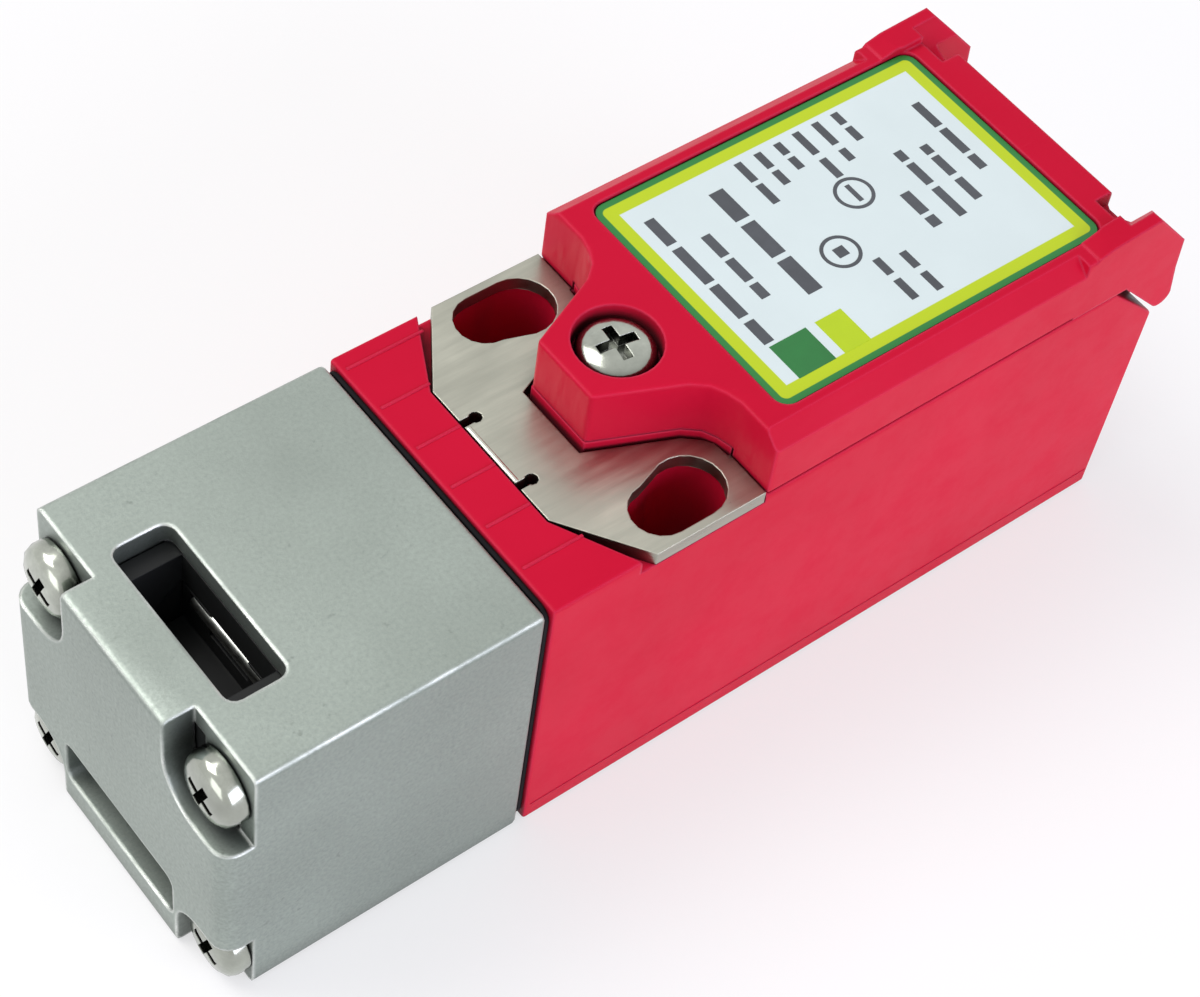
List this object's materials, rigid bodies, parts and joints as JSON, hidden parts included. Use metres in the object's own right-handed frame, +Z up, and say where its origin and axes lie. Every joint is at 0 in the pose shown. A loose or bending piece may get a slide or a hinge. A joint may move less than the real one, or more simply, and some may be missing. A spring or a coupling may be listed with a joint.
{
  "type": "safety interlock switch",
  "caption": "Key-operated safety interlock switch with a turnable metal head, a red moulded box, a steel fixing plate and a hinged wiring lid.",
  "frame": {"origin": "on the flat base, midway between the two fixing holes", "axes": "+X along the box to its cable end, away from the key head; +Y to the left seen from the head; +Z up from the base through the fixing holes"},
  "size_m": [0.0819, 0.025, 0.0309],
  "materials": {
    "head_metal": "satin",
    "screw_steel": "satin",
    "plate_steel": "satin",
    "red_plastic": "satin",
    "black_plastic": "matte",
    "pale_plastic": "matte",
    "seal_rubber": "matte",
    "insert_brass": "satin",
    "contact_brass": "satin",
    "label_film": "satin"
  },
  "bodies": {
    "case": {"head_housing": "head_metal", "cam_carrier": "black_plastic", "cam_axle": "screw_steel", "head_gasket": "seal_rubber", "head_screw_1": "screw_steel", "head_screw_2": "screw_steel", "head_screw_3": "screw_steel", "head_screw_4": "screw_steel", "body_housing": "red_plastic", "mounting_plate": "plate_steel", "plunger_seal": "seal_rubber", "threaded_insert": "insert_brass", "cover_gasket": "seal_rubber", "contact_block": "black_plastic", "return_spring": "screw_steel", "terminal_strip_break_right": "contact_brass", "clamp_plate_break_right": "screw_steel", "terminal_screw_break_right": "screw_steel", "terminal_strip_break_left": "contact_brass", "clamp_plate_break_left": "screw_steel", "terminal_screw_break_left": "screw_steel", "terminal_strip_make_right": "contact_brass", "clamp_plate_make_right": "screw_steel", "terminal_screw_make_right": "screw_steel", "terminal_strip_make_left": "contact_brass", "clamp_plate_make_left": "screw_steel", "terminal_screw_make_left": "screw_steel"},
    "cam": {"cam_wheel": "black_plastic", "cam_pin_1": "screw_steel", "cam_pin_2": "screw_steel"},
    "plunger": {"plunger": "pale_plastic", "break_bridge": "contact_brass", "make_bridge": "contact_brass", "break_bridge_spring": "screw_steel", "make_bridge_spring": "screw_steel"},
    "lid": {"cover": "red_plastic", "label_plate": "label_film", "cover_screw": "screw_steel", "screw_retainer": "screw_steel"}
  },
  "joints": [
    {"name": "cam_turn", "type": "hinge", "parent": "case", "child": "cam", "pos_m": [-0.02485, 0, 0.0122], "axis": [0, -1, 0], "range_deg": [0, 45]},
    {"name": "plunger_slide", "type": "slide", "parent": "case", "child": "plunger", "axis": [-1, 0, 0], "range_m": [0, 0.003], "deforming": ["return_spring"]},
    {"name": "lid_hinge", "type": "hinge", "parent": "case", "child": "lid", "pos_m": [0.0424, 0, 0.02095], "axis": [0, 1, 0], "range_deg": [0, 90]}
  ],
  "couplings": [
    {"joint": "plunger_slide", "follows": "cam_turn", "m_per_rad": 0.0038197}
  ]
}
